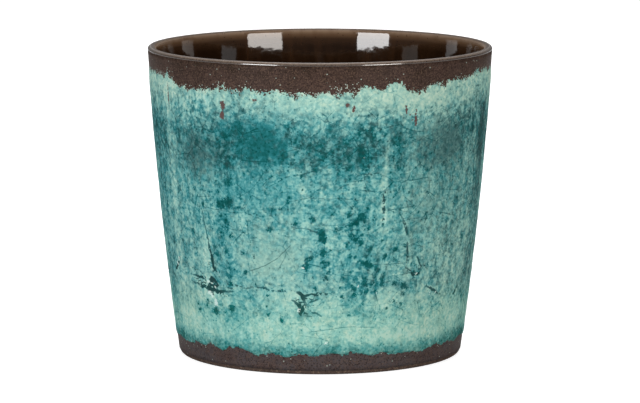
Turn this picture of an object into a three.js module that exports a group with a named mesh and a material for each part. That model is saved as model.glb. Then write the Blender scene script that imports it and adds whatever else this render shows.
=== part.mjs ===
// Stoneware cover pot: a fired clay body, a brown coat outside, a glossy brown liner inside that
// rolls over the lip, and a turquoise glaze sleeve with wavy edges.
// Millimetres, +Z up, origin at the centre of the foot, on the surface that the pot stands on.
import * as THREE from "three";

// Driving dimensions of the finished pot, glazes included
const RIM_DIAMETER = 190; // outside, at the lip
const BASE_DIAMETER = 156; // outside, where the wall would meet the ground
const HEIGHT = 170;
const WALL_BOW = 1.5; // swell of the outside past a straight cone, halfway up
const INSIDE_BOW = 0.6; // swell of the inside, so the wall is thickest halfway up
const WALL = 4.8; // across the wall at the lip and the foot
const FLOOR = 8; // from the ground to the inside floor
const FLOOR_FILLET = 9; // inside corner between floor and wall
const LIP_OUTER_RADIUS = 1.6;
const LIP_INNER_RADIUS = 2.4;

// Foot of the clay body
const FOOT_RADIUS = 1.5; // rounded outside corner
const FOOT_RING_WIDTH = 9; // flat ring that the pot stands on
const FOOT_RECESS = 2.5; // hollow inside the ring
const RECESS_SLOPE = 2; // how far the recess wall leans in

// Glaze layers
const COAT = 0.4; // brown coat outside and brown liner inside
const BOND = 0.05; // gap that keeps two layers apart
const COAT_START = 2.2; // bare clay below the brown coat
const TURQUOISE = 0.35;
const RIM_BAND = 14.5; // brown left bare below the lip
const FOOT_BAND = 11; // brown and clay left bare above the ground

// Waves of the turquoise edges: how many go round, how high they are, and where they start
const RIM_BAND_WAVES = [
  { count: 1, height: 2.4, start: 0 },
  { count: 5, height: 1, start: -0.6 },
  { count: 11, height: 1.3, start: 1.2 },
];
const FOOT_BAND_WAVES = [
  { count: 7, height: 0.6, start: 0.4 },
  { count: 16, height: 0.8, start: 1.1 },
];

// Fineness of the round and bowed surfaces
const ROUND_STEPS = 64;
const WALL_STEPS = 7;
const LIP_STEPS = 3;
const FOOT_STEPS = 3;
const FILLET_STEPS = 5;

const CLAY_DEPTH = COAT + BOND; // how far the clay lies below the finished surface
const LIP_SEAM = HEIGHT - LIP_OUTER_RADIUS; // where the liner, rolled over the lip, meets the coat

const FINISH = {
  clay: { color: 0x4a3b35, roughness: 0.85 },
  coat: { color: 0x51403a, roughness: 0.45 },
  liner: { color: 0x2a1a10, roughness: 0.12 },
  turquoise: { color: 0x6fb3a4, roughness: 0.35 },
};

// Radius at a height of a cone with a slight swell: the finished outside, unless given another swell
function wallRadius(z, bow = WALL_BOW) {
  const share = z / HEIGHT;
  const cone = THREE.MathUtils.lerp(BASE_DIAMETER, RIM_DIAMETER, share) / 2;
  return cone + 4 * bow * share * (1 - share);
}

// Radius of the glazed inside at a height
const insideRadius = (z) => wallRadius(z, INSIDE_BOW) - WALL;

// A point of a lathe profile: radius and height
const at = (radius, z) => new THREE.Vector2(radius, z);

// Points up or down a wall between two heights, at a radial offset from its finished surface
function wallPoints(fromZ, toZ, offset, radiusAt = wallRadius) {
  return Array.from({ length: WALL_STEPS + 1 }, (_, i) => {
    const z = THREE.MathUtils.lerp(fromZ, toZ, i / WALL_STEPS);
    return at(radiusAt(z) + offset, z);
  });
}

// Points of an arc round a centre, with angles in quarter turns from +radius
function arcPoints(radius, z, size, fromQuarter, toQuarter, steps) {
  return Array.from({ length: steps + 1 }, (_, i) => {
    const angle = (THREE.MathUtils.lerp(fromQuarter, toQuarter, i / steps) * Math.PI) / 2;
    return at(radius + size * Math.cos(angle), z + size * Math.sin(angle));
  });
}

// The lip from its outside seam over the crest to the inner wall, a depth below the finished surface
function lipPoints(depth) {
  const innerZ = HEIGHT - LIP_INNER_RADIUS;
  const outerCentre = wallRadius(LIP_SEAM) - LIP_OUTER_RADIUS;
  const innerCentre = insideRadius(innerZ) + LIP_INNER_RADIUS;
  return [
    ...arcPoints(outerCentre, LIP_SEAM, LIP_OUTER_RADIUS - depth, 0, 1, LIP_STEPS),
    ...arcPoints(innerCentre, innerZ, LIP_INNER_RADIUS - depth, 1, 2, LIP_STEPS),
  ];
}

// The inside from below the lip down the wall, round the fillet and to the middle of the floor
function insidePoints(depth) {
  const filletZ = FLOOR + FLOOR_FILLET;
  const filletCentre = insideRadius(filletZ) - FLOOR_FILLET;
  const wall = wallPoints(HEIGHT - LIP_INNER_RADIUS, filletZ, depth, insideRadius);
  const fillet = arcPoints(filletCentre, filletZ, FLOOR_FILLET + depth, 0, -1, FILLET_STEPS);
  return [...wall.slice(1), ...fillet.slice(1), at(0, FLOOR - depth)];
}

// Turns a profile round the pot's axis. Angle 0 of the lathe faces the front, -Y.
function turned(profile) {
  return new THREE.LatheGeometry(profile, ROUND_STEPS).rotateX(Math.PI / 2);
}

// The clay: recessed underside, foot ring, outer wall, lip, inner wall and floor in one piece
function bodyGeometry() {
  const cornerCentre = wallRadius(FOOT_RADIUS) - CLAY_DEPTH - FOOT_RADIUS;
  const ringInner = cornerCentre - FOOT_RING_WIDTH;
  const underside = [
    at(0, FOOT_RECESS),
    at(ringInner - RECESS_SLOPE, FOOT_RECESS),
    at(ringInner, 0),
  ];
  const corner = arcPoints(cornerCentre, FOOT_RADIUS, FOOT_RADIUS, -1, 0, FOOT_STEPS);
  const outside = wallPoints(FOOT_RADIUS, LIP_SEAM, -CLAY_DEPTH);
  return turned([
    ...underside,
    ...corner,
    ...outside.slice(1, -1),
    ...lipPoints(CLAY_DEPTH),
    ...insidePoints(CLAY_DEPTH),
  ]);
}

// The brown coat: a sleeve on the outside of the clay from above the foot to the lip
function coatGeometry() {
  const top = LIP_SEAM - BOND;
  const outside = wallPoints(COAT_START, top, 0);
  const back = wallPoints(top, COAT_START, -COAT);
  return turned([...outside, ...back, outside[0]]);
}

// The liner: a cup that covers the floor, the inner wall and the lip
function linerGeometry() {
  const surface = [...lipPoints(0), ...insidePoints(0)];
  const back = [...lipPoints(COAT), ...insidePoints(COAT)];
  return turned([...back.reverse(), ...surface]);
}

// How far an edge of the turquoise wanders from its band at an angle from the front
function wander(waves, angle) {
  return waves.reduce((sum, w) => sum + w.height * Math.cos(w.count * angle + w.start), 0);
}

// The turquoise: a sleeve on the brown coat, whose rows are shared out between its two wavy edges
function turquoiseGeometry() {
  const bottom = FOOT_BAND;
  const top = HEIGHT - RIM_BAND;
  const outside = wallPoints(bottom, top, BOND + TURQUOISE);
  const back = wallPoints(top, bottom, BOND);
  const geometry = turned([...outside, ...back, outside[0]]);
  const spots = geometry.getAttribute("position");
  for (let i = 0; i < spots.count; i++) {
    const angle = Math.atan2(spots.getX(i), -spots.getY(i));
    const share = (spots.getZ(i) - bottom) / (top - bottom);
    const offset = Math.hypot(spots.getX(i), spots.getY(i)) - wallRadius(spots.getZ(i));
    const z = THREE.MathUtils.lerp(
      bottom + wander(FOOT_BAND_WAVES, angle),
      top - wander(RIM_BAND_WAVES, angle),
      share,
    );
    const radius = wallRadius(z) + offset;
    spots.setXYZ(i, radius * Math.sin(angle), -radius * Math.cos(angle), z);
  }
  return geometry;
}

function piece(name, geometry, finish) {
  const material = new THREE.MeshStandardMaterial({ ...finish, metalness: 0 });
  const mesh = new THREE.Mesh(geometry, material);
  mesh.name = name;
  return mesh;
}

const pot = new THREE.Group();
pot.add(
  piece("stoneware_body", bodyGeometry(), FINISH.clay),
  piece("brown_coat", coatGeometry(), FINISH.coat),
  piece("liner_glaze", linerGeometry(), FINISH.liner),
  piece("turquoise_glaze", turquoiseGeometry(), FINISH.turquoise),
);

export default pot;
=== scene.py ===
# %% [markdown]
# # A glazed cover pot
# The real pot is one piece of fired stoneware under three glazes: a brown coat outside, a glossy
# brown liner inside that rolls over the lip, and a turquoise sleeve that has run, crawled and
# crazed in the kiln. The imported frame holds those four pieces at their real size, and this lesson
# gives each one its fine surface. Every length is in metres, so a millimetre gets a name of its
# own.

# %% Load the frame
import math

import bpy
import numpy as np
from mathutils import Color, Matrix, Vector, noise


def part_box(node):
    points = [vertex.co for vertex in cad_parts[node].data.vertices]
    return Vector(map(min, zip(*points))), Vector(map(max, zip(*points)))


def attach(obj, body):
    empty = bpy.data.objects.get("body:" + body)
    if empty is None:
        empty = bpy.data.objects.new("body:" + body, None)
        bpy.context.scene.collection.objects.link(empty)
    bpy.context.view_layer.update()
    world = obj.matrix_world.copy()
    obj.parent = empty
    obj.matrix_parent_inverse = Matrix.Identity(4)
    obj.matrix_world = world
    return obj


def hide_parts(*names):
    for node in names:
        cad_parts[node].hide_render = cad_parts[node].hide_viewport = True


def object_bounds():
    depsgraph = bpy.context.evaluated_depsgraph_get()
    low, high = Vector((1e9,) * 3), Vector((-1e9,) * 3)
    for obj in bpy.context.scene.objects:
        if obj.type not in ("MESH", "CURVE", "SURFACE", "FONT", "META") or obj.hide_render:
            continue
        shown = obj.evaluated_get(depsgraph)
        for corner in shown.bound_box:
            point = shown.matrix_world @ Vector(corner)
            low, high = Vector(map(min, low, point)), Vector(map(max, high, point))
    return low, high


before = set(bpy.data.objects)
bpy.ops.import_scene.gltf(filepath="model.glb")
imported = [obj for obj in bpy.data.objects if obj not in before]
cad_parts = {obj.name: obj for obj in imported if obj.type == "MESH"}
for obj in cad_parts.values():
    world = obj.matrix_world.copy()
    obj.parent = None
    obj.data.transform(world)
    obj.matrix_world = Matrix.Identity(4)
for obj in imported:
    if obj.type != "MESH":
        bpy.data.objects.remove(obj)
cad_low, cad_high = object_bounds()
mm = 0.001
print("pieces in the frame:", sorted(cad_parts))

# %% [markdown]
# ## Camera
# The camera could be placed by eye, but the pot's two ellipses fix it: how round the mouth and the
# foot look gives the tilt, and how much rounder the foot is than the mouth gives the distance. It
# is a long lens from two metres away, a little above the rim, which is why the sides look nearly
# straight.

# %% Camera
CAMERA_DISTANCE = 2.09
CAMERA_HEIGHT = 0.385
CAMERA_TILT = math.radians(8.226)  # below the horizon
SENSOR = 36  # millimetres, as lenses are named
LENS = 214.3

bpy.ops.object.select_all(action="DESELECT")
bpy.ops.object.camera_add(
    location=(0, -CAMERA_DISTANCE, CAMERA_HEIGHT),
    rotation=(math.pi / 2 - CAMERA_TILT, 0, 0),
)
camera = bpy.context.object
camera.name = "camera"
camera.data.sensor_width = SENSOR
camera.data.lens = LENS
bpy.context.scene.camera = camera
print("camera at", tuple(round(v, 3) for v in camera.location))

# %% [markdown]
# ## The pot's outline
# A pot is turned on a wheel, so each piece is an outline of radii and heights, spun round the axis.
# The frame gives the height, the lip and where the brown glazes start and end. The wall between
# them is a cone with a slight swell, and the inside swells less than the outside, so the wall is
# thickest halfway up.

# %% Outline of the wall
HEIGHT = cad_high.z
COAT_START, LIP_SEAM = (corner.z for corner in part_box("brown_coat"))
SEAM_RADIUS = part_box("brown_coat")[1].x  # outside, where the coat meets the liner at the lip
BASE_RADIUS = 78 * mm  # outside, where the wall would meet the ground
OUTSIDE_BOW = 1.5 * mm
INSIDE_BOW = 0.6 * mm
WALL = 4.8 * mm


def wall_radius(z, bow=OUTSIDE_BOW):
    """Radius of the finished outside at a height. Works on numbers and on arrays."""
    share = z / LIP_SEAM
    return BASE_RADIUS + (SEAM_RADIUS - BASE_RADIUS) * share + 4 * bow * share * (1 - share)


def inside_radius(z):
    """Radius of the finished inside at a height."""
    return wall_radius(z, INSIDE_BOW) - WALL


def wall_points(low, high, steps, offset=0, radius_at=wall_radius):
    """Points up or down a wall, at a radial offset from its finished surface."""
    return [(radius_at(z) + offset, z) for z in np.linspace(low, high, steps + 1)]


def arc_points(radius, z, size, start, end, steps):
    """Points of an arc round a centre, with angles in degrees from straight out."""
    turns = np.radians(np.linspace(start, end, steps + 1))
    return [(radius + size * math.cos(a), z + size * math.sin(a)) for a in turns]


print(f"outside radius halfway up: {wall_radius(HEIGHT / 2) / mm:.1f} mm")

# %% [markdown]
# ## The wheel
# Spin in edit mode would do what the wheel does, but it slows down with the square of the columns.
# So a plane is added and merged to a single point, the point is extruded along the outline, and a
# Screw modifier with no climb turns the line through a full round. Its first and last columns and
# the points on the axis are then merged, so the seam and the poles are closed, and the faces are
# turned outwards.

# %% Turn an outline
MERGE = 1e-6


def turned(name, outline, columns):
    """A new piece: the outline, a list of (radius, height), turned round the pot's axis."""
    bpy.ops.object.select_all(action="DESELECT")
    start = Vector((outline[0][0], 0, outline[0][1]))
    bpy.ops.mesh.primitive_plane_add(size=1 * mm, location=start)
    piece = bpy.context.object
    piece.name = piece.data.name = name
    bpy.ops.object.mode_set(mode="EDIT")
    bpy.ops.mesh.merge(type="CENTER")
    for (radius, z), (next_radius, next_z) in zip(outline, outline[1:]):
        step = (next_radius - radius, 0, next_z - z)
        bpy.ops.mesh.extrude_region_move(TRANSFORM_OT_translate={"value": step})
    bpy.ops.object.mode_set(mode="OBJECT")
    bpy.ops.object.transform_apply(location=True, rotation=True, scale=True)
    bpy.ops.object.modifier_add(type="SCREW")
    wheel = piece.modifiers[-1]
    wheel.angle = 2 * math.pi
    wheel.steps = wheel.render_steps = columns
    bpy.ops.object.modifier_apply(modifier=wheel.name)
    bpy.ops.object.mode_set(mode="EDIT")
    bpy.ops.mesh.select_all(action="SELECT")
    bpy.ops.mesh.remove_doubles(threshold=MERGE)
    bpy.ops.mesh.normals_make_consistent(inside=False)
    bpy.ops.object.mode_set(mode="OBJECT")
    bpy.ops.object.shade_smooth()
    print(name, "has", len(piece.data.polygons), "faces")
    return piece


# %% [markdown]
# ## Lip and inside
# The lip is rounded on both sides, and the floor meets the wall in a hollow corner that a finger
# can wipe out. A bevel could round them afterwards, but the clay and the liner share these curves
# at two depths, so they are drawn as arcs that can be moved in by a depth.

# %% Lip and inside
COAT = 0.4 * mm  # brown coat outside and brown liner inside
BOND = 0.05 * mm  # gap that keeps two layers apart
LIP_OUTER = HEIGHT - LIP_SEAM - BOND
LIP_INNER = 2.4 * mm
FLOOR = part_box("liner_glaze")[0].z + COAT
FLOOR_FILLET = 9 * mm


def lip_points(depth, steps=8):
    """The lip from its outside seam over the crest, a depth below the finished surface."""
    seam = HEIGHT - LIP_OUTER
    inner_z = HEIGHT - LIP_INNER
    outer = arc_points(wall_radius(seam) - LIP_OUTER, seam, LIP_OUTER - depth, 0, 90, steps)
    inner = arc_points(inside_radius(inner_z) + LIP_INNER, inner_z, LIP_INNER - depth, 90, 180, steps)
    return outer + inner


def inside_points(depth):
    """The inside from below the lip, down the wall and round the fillet to the middle of the floor."""
    fillet_z = FLOOR + FLOOR_FILLET
    fillet_centre = inside_radius(fillet_z) - FLOOR_FILLET
    wall = wall_points(HEIGHT - LIP_INNER, fillet_z, 36, depth, inside_radius)
    fillet = arc_points(fillet_centre, fillet_z, FLOOR_FILLET + depth, 0, -90, 12)
    floor = [(fillet_centre * share, FLOOR - depth) for share in (0.8, 0.6, 0.4, 0.2, 0)]
    return wall[1:] + fillet[1:] + floor


print(f"inside floor {FLOOR / mm:.1f} mm above the ground")

# %% [markdown]
# ## Clay body
# Only the foot and the underside of the clay can be seen, but it is made whole, from the recess
# under the foot to the inside floor, because that is how the pot holds together. A solid plug with
# the glazes round it would look the same and be wrong to anyone who cuts it open.

# %% Clay body
CLAY_DEPTH = COAT + BOND  # how far the clay lies below the finished surface
FOOT_ROUND = 1.5 * mm
FOOT_RING = 9 * mm
FOOT_RECESS = 2.5 * mm
RECESS_SLOPE = 2 * mm

corner_centre = wall_radius(FOOT_ROUND) - CLAY_DEPTH - FOOT_ROUND
ring_inner = corner_centre - FOOT_RING
underside = [(0, FOOT_RECESS), (ring_inner - RECESS_SLOPE, FOOT_RECESS), (ring_inner, 0)]
corner = arc_points(corner_centre, FOOT_ROUND, FOOT_ROUND, -90, 0, 8)
outside = wall_points(FOOT_ROUND, LIP_SEAM, 12, -CLAY_DEPTH)
clay_body = turned(
    "clay_body",
    underside + corner + outside[1:-1] + lip_points(CLAY_DEPTH) + inside_points(CLAY_DEPTH),
    columns=192,
)

# %% [markdown]
# ## Brown coat and liner
# Both browns are skins less than half a millimetre thick. Solidify could thicken a single sheet,
# but each skin's outline is simply drawn out along its face and home along its back, which gives
# its ends a true edge. The coat has many rows and columns, because the marks of the kiln are
# painted on them.

# %% Brown coat and liner
coat_face = wall_points(COAT_START, LIP_SEAM, 84)
coat_back = wall_points(LIP_SEAM, COAT_START, 4, -COAT)
brown_coat = turned("brown_coat_skin", coat_face + coat_back + coat_face[:1], columns=384)

liner_face = lip_points(0) + inside_points(0)
liner_back = lip_points(COAT) + inside_points(COAT)
brown_liner = turned("brown_liner_cup", liner_back[::-1] + liner_face, columns=384)

# %% [markdown]
# ## Edges of the turquoise
# The turquoise leaves a band of brown bare below the lip, where it thinned out and frayed, and
# another above the ground, where it stopped in small drips. A wave would be too regular for either,
# so both edges are drawn as angles from the front and distances, and go on round the back.

# %% Edges of the turquoise
RIM_EDGE = (  # degrees from the front, millimetres below the lip
    (-172, 14), (-160, 17), (-148, 14.5), (-134, 17.5), (-122, 15), (-108, 16.5), (-94, 13.5),
    (-80, 12), (-68, 12.5), (-63, 13.5), (-61, 10), (-58, 13.5), (-54, 16), (-48, 17), (-44, 17.5),
    (-41, 16), (-36, 14.5), (-30, 17), (-27, 17.5), (-24.5, 14), (-22, 16), (-18, 17), (-14, 15),
    (-11, 17), (-7, 18), (-3, 17), (0, 17.5), (3, 16), (6, 18.5), (9, 16), (11, 17.5), (14, 12.5),
    (16, 14), (19, 16), (22, 14), (24.5, 10.5), (27, 12), (30, 15.5), (33, 17.5), (36, 17), (38, 14),
    (41, 13), (44, 14.5), (50, 12), (55, 12.5), (64, 10.5), (80, 11), (96, 14), (110, 16), (124, 13),
    (138, 17), (152, 14.5), (168, 17),
)
FOOT_EDGE = (  # degrees from the front, millimetres above the ground
    (-174, 11.5), (-165, 9.5), (-156, 12), (-146, 10), (-139, 12.5), (-128, 10.5), (-120, 9.5),
    (-112, 12), (-101, 10), (-92, 12.5), (-84, 10), (-77, 11.5), (-61, 10), (-58, 12.5), (-52, 11),
    (-48, 13.5), (-41, 9.5), (-38, 13), (-31, 12.5), (-25, 9), (-20, 11.5), (-12, 9.5), (-8, 12),
    (-3, 10.5), (2, 11.7), (10, 11), (12, 12.5), (19, 10), (25, 11.5), (29, 10), (38, 10), (44, 9),
    (49, 11), (53, 12), (56, 10.5), (61, 11.5), (66, 10), (75, 12), (84, 10), (93, 12), (102, 9.5),
    (113, 12), (121, 10.5), (131, 12.5), (141, 9.5), (149, 11.5), (160, 10), (170, 12),
)


def drawn(line, angle):
    """Reads a drawn line that closes round the pot at an angle in degrees."""
    angles, values = zip(*line)
    return np.interp(angle, angles, values, period=360) * mm


print(f"turquoise at the front: {(HEIGHT - drawn(RIM_EDGE, 0) - drawn(FOOT_EDGE, 0)) / mm:.1f} mm tall")

# %% [markdown]
# ## Reading and moving a surface
# Three small tools do what a potter's hands do to a finished pot: find each spot by its angle and
# height, push it in or out, and put a mark on it. They work on all the vertices at once as arrays,
# because proportional editing by hand would take a stroke for every mark.

# %% Reading and moving a surface
def places(piece):
    """Each vertex's angle from the front in degrees, its radius and its height."""
    spots = np.empty(len(piece.data.vertices) * 3)
    piece.data.vertices.foreach_get("co", spots)
    x, y, z = spots.reshape(-1, 3).T
    return np.degrees(np.arctan2(x, -y)), np.hypot(x, y), z


def move_to(piece, angle, radius, z):
    """Puts each vertex at its own angle, radius and height."""
    turn = np.radians(angle)
    spots = np.stack([radius * np.sin(turn), -radius * np.cos(turn), z], axis=1)
    piece.data.vertices.foreach_set("co", spots.ravel())
    piece.data.update()


def paint(piece, name, values):
    """Stores one number a vertex, for the finish to read."""
    layer = piece.data.attributes.new(name, "FLOAT", "POINT")
    layer.data.foreach_set("value", np.ascontiguousarray(values, dtype=np.float32))


print("coat has", len(places(brown_coat)[0]), "spots to paint")

# %% [markdown]
# ## Where a mark lies
# The kiln left hundreds of marks, and noise alone would never put them in their places. So the
# large ones are listed, each with its angle from the front and its height in millimetres.
# The back can't be seen, so it gets the same marks half a turn on, and a seeded draw moves each of
# them about.

# %% Where a mark lies
SEED = 5
LUMP_FALL = 0.8  # how fast the finer lumps of the noise fade
LUMP_STEP = 2.0  # how much finer each layer of lumps is
LUMP_LAYERS = 4


def all_round(marks, aside=9, above=3):
    """The front's marks and the same round the back, moved by up to some degrees and millimetres."""
    draws = np.random.default_rng(SEED)
    back = []
    for angle, height, *rest in marks:
        angle += 180 + draws.uniform(-aside, aside)
        height += draws.uniform(-above, above)
        back.append((angle, height, *rest))
    return list(marks) + back


def turn_gap(angle, middle):
    """Degrees from a middle angle, the short way round."""
    return (angle - middle + 180) % 360 - 180


def reach(angle, z, mark, aside=0, above=0):
    """How far each place is from a mark: 0 at its middle, 1 at its half width or half height."""
    middle, height, wide, high = mark[:4]
    across = np.radians(turn_gap(angle, middle)) * wall_radius(z) / mm
    return np.hypot(across / wide + aside, (z / mm - height) / high + above)


def lumpy(angle, z, size):
    """A smooth noise at each place on the wall, with lumps of a size in millimetres."""
    turn = np.radians(angle)
    radius = wall_radius(z)
    spots = np.stack([radius * np.sin(turn), -radius * np.cos(turn), z], axis=1) / (size * mm)
    return np.array([noise.fractal(Vector(spot), LUMP_FALL, LUMP_STEP, LUMP_LAYERS) for spot in spots])


print("one degree is", round(math.radians(1) * wall_radius(HEIGHT / 2) / mm, 2), "mm round the wall")

# %% [markdown]
# ## Bands and patches of tone
# From the foot up the glaze goes from dark drips to a pale band, a mid turquoise, a deep blue belt
# and a pale veil under the brown. One ramp by height gives those bands. Patches then shift them:
# each has a place and a size, and changes the tone, the hue from grey-green to blue, and how calm
# the glaze is there. Lumpy noise bends their outlines, because a plain ellipse would look stamped.

# %% Bands of tone
TONE = (  # height in millimetres, tone from 0 dark to 1 pale, hue from 0 grey-green to 1 blue, lace
    (8, 0.42, 0.5, 0.1), (14, 0.45, 0.6, 0.1), (20, 0.86, 0.55, 0.1), (27, 0.86, 0.55, 0.1),
    (34, 0.66, 0.62, 0.18), (46, 0.56, 0.65, 0.19), (85, 0.56, 0.85, 0.19), (105, 0.51, 0.85, 0.17),
    (112, 0.43, 0.7, 0.18), (117, 0.31, 0.7, 0.18), (129, 0.31, 0.7, 0.22), (136, 0.42, 0.7, 0.24),
    (143, 0.6, 0.5, 0.24), (149, 0.76, 0.3, 0.18), (156, 0.83, 0.2, 0.12),
)
print("tone bands:", len(TONE))

# %% Patches of tone
PATCHES = (  # angle, height, half width, half height, change of tone, change of hue, calm
    # deep teal and slate in the belt
    (-24, 130, 14, 11, -0.11, 0.3, 0.6), (-17, 124, 12, 9, -0.06, 0.3, 0.6),
    (-34, 132, 6, 5, -0.04, 0, 0), (-46, 118, 13, 11, -0.02, -0.4, 0.7),
    (-48.5, 113, 2, 8, -0.12, -0.2, 0.3), (-52, 112, 1.7, 7, -0.1, -0.2, 0.3),
    (-44.5, 111, 1.6, 6, -0.1, -0.2, 0.3), (15, 120, 8, 4, -0.07, 0, 0), (25, 129, 4, 7, -0.1, 0, 0.2),
    (47, 124, 15, 12, -0.02, -0.6, 0.85), (56, 137, 5, 6, -0.1, 0, 0), (-34, 112, 5, 6, -0.1, 0, 0),
    (8, 109, 8, 4, -0.08, 0.1, 0),
    # paler breaks in the belt
    (-60, 118, 5, 11, 0.17, -0.1, 0), (-50, 137, 5, 8, 0.1, 0, 0), (1, 125, 3, 6, 0.12, 0, 0),
    (4, 114, 4, 4, 0.1, 0, 0), (33, 117, 5, 10, 0.18, -0.2, 0.2), (34, 135, 12, 10, 0.11, -0.1, 0.1),
    (64, 119, 7, 7, 0.22, -0.1, 0), (-10, 110, 8, 5, 0.1, 0, 0),
    # the veil under the brown
    (-5, 146, 25, 5, 0.06, 0, 0.4), (30, 150, 25, 5, 0.08, -0.3, 0.6),
    (-45, 146, 12, 6, -0.12, 0.3, -0.6), (-59, 142, 5, 12, 0.12, 0, 0),
    (-27, 146, 11, 8, -0.1, 0, -0.2), (-50, 151, 4, 3, -0.1, 0, 0), (10, 151, 10, 3, -0.18, 0, 0),
    (0, 140, 5, 5, 0.12, 0, 0), (-39, 144, 3, 4, 0.14, 0, 0), (15, 146, 7, 5, 0.06, -0.3, 0),
    # pale runs down the wall
    (-62, 92, 4, 42, 0.16, -0.2, 0), (22.5, 101, 2, 21, 0.26, -0.3, 0), (59, 72, 3, 16, 0.1, -0.2, 0),
    (-5.5, 101, 1.8, 5, 0.08, -0.3, 0), (-6, 101.3, 2, 2, 0.3, -0.2, 0.6),
    (-4, 122, 1.8, 9, 0.07, -0.2, 0), (33.5, 66, 1.8, 14, 0.12, -0.3, 0),
    (53, 48, 2.4, 30, 0.08, -0.2, 0), (66, 62, 2.5, 26, 0.08, -0.2, 0),
    (-45, 66, 3.5, 19, 0.28, -0.2, 0.3), (-51, 64, 6, 9, 0.1, -0.1, 0), (46, 70, 8, 9, 0.1, -0.2, 0.2),
    (22, 80, 6, 7, 0.12, 0, 0), (23.3, 122, 1.3, 9, 0.18, -0.3, 0.2),
    # dark runs down the wall
    (-35.5, 73, 4.5, 22, -0.15, 0.2, 0), (13, 77, 7, 18, -0.1, 0.1, -0.3),
    (16, 52, 8, 9, -0.1, 0.1, -0.4), (35, 73, 5, 8, -0.16, 0, 0.2), (47.5, 107, 1.7, 12, -0.08, 0, 0),
    (-40, 52, 4, 7, -0.12, 0, 0), (18, 63, 6, 4, -0.12, 0, 0), (-30, 101, 4, 6, -0.1, 0, 0),
    (0, 88, 9, 9, -0.06, 0, 0), (-50, 93, 4, 5, -0.09, 0, 0), (-64, 80, 5, 4, -0.12, 0, 0),
    (-59.5, 66, 3, 5, -0.1, 0, 0),
    # the calm veil in the middle
    (-15, 66, 20, 17, 0.06, -0.4, 0.5), (-20, 62, 15, 8, 0.1, -0.2, 0.3),
    (-20, 46, 16, 7, 0.13, 0.1, 0.3), (-24, 103, 20, 8, -0.03, 0.3, 0.4),
    (-21, 84, 8, 6, -0.09, 0.1, 0), (9, 72, 6, 6, 0.14, 0, 0), (38, 92, 13, 14, 0, -0.4, 0.4),
    (52, 100, 10, 10, -0.06, 0, 0.3), (16, 98, 4, 3, 0.12, 0, 0), (41, 100, 5, 6, 0.1, 0, -0.3),
    (-31, 83, 6, 6, 0.08, 0, 0),
    # clearings and pools low down
    (-60, 36, 12, 10, 0.06, -0.4, 0.3), (-61, 47, 5, 6, 0.1, 0, 0), (-48, 43, 8, 8, 0.2, 0, 0.2),
    (4, 47, 9, 10, 0.12, -0.1, 0.2), (3, 35, 10, 5, 0.15, -0.1, 0.3), (-11, 42, 8, 5, 0.1, -0.1, 0.2),
    (26, 42, 9, 5, 0.22, -0.2, 0.4), (39, 38, 9, 7, 0.15, -0.2, 0.3), (60, 54, 8, 14, 0.07, 0.1, 0),
    (20.5, 55, 5, 3, 0.2, -0.2, 0), (10, 58, 5, 5, 0.06, 0, 0), (26, 70, 4, 6, -0.09, 0, 0),
    (-50, 31, 6, 4, -0.12, 0.1, 0), (46, 60, 6, 6, 0.06, -0.1, 0), (50, 24, 6, 4, -0.07, 0, 0),
    (20, 121, 5, 5, 0.06, 0, 0), (-44, 23, 6, 3, -0.06, 0.1, 0), (-8, 54, 4, 3, 0.1, 0, 0),
    (-37, 38, 4, 4, 0.1, 0, 0), (-35, 28, 6, 4, -0.12, 0.2, 0), (15, 37, 5, 4, -0.09, 0, 0),
    (38, 19, 16, 5, 0.17, 0, 0.2), (17, 17, 7, 4, 0.1, 0, 0), (33, 44, 3, 5, -0.15, 0, 0),
    (-9, 18, 7, 4, 0.08, 0, 0), (-53, 48, 2.5, 1.4, 0.2, 0.1, 0.4), (-9, 44, 2, 1.6, 0.2, 0, 0.3),
    # greener and bluer stretches
    (-33, 22, 9, 8, -0.06, 0.35, 0), (-47, 25, 7, 6, 0, 0.25, 0), (-32, 54, 8, 16, 0, 0.3, 0),
    (-3, 64, 8, 14, 0, 0.35, 0), (12, 52, 8, 14, -0.01, 0.25, 0), (43, 141, 8, 8, 0.02, -0.3, 0),
    # painted shade: darker and greyer round the sides, where the light falls away towards the edges; two
    # pale streaks at the very edges
    (65, 80, 30, 60, -0.02, -0.4, 0), (-74, 60, 6, 40, -0.1, 0, 0), (-74, 24, 9, 16, -0.18, 0, 0),
    (-75, 140, 8, 10, -0.14, 0, 0), (-73, 105, 7, 12, -0.12, 0, 0), (75, 50, 8, 40, -0.12, -0.1, 0),
    (73, 115, 6, 24, -0.2, -0.3, 0.4), (68, 93, 9, 10, -0.12, 0, 0), (70, 145, 12, 9, -0.16, 0, 0),
    (72, 20, 9, 12, -0.14, 0, 0), (71, 128, 4, 9, -0.14, 0, 0), (-88, 100, 2.5, 30, 0.12, -0.2, 0),
    (87, 60, 3, 30, 0.12, -0.2, 0),
)
print("patches all round:", len(all_round(PATCHES)))

# %% Tone at a place
PATCH_BEND = 0.5  # how far noise bends an outline, in half widths
PATCH_FADE = 0.7  # how soon a patch fades from its middle
LIVELY_RANGE = (0.1, 1.6)


def tone_marks(angle, z):
    """Tone, hue, lace and liveliness of the turquoise at each place."""
    heights, tones, hues, laces = zip(*TONE)
    tone = np.interp(z / mm, heights, tones)
    hue = np.interp(z / mm, heights, hues)
    lace = np.interp(z / mm, heights, laces)
    calm = np.zeros_like(z)
    aside = PATCH_BEND * lumpy(angle, z, 8)
    above = PATCH_BEND * lumpy(angle, z, 11)
    for patch in all_round(PATCHES):
        inside = np.exp(-PATCH_FADE * reach(angle, z, patch, aside, above) ** 3)
        tone_change, hue_change, calm_change = patch[4:]
        tone += tone_change * inside
        hue += hue_change * inside
        calm += calm_change * inside
    return tone, hue, lace, np.clip(1 - calm, *LIVELY_RANGE)


middle_tone = tone_marks(np.zeros(1), np.array([HEIGHT / 2]))[0][0]
print("tone in the middle of the front:", round(middle_tone, 2))
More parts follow.
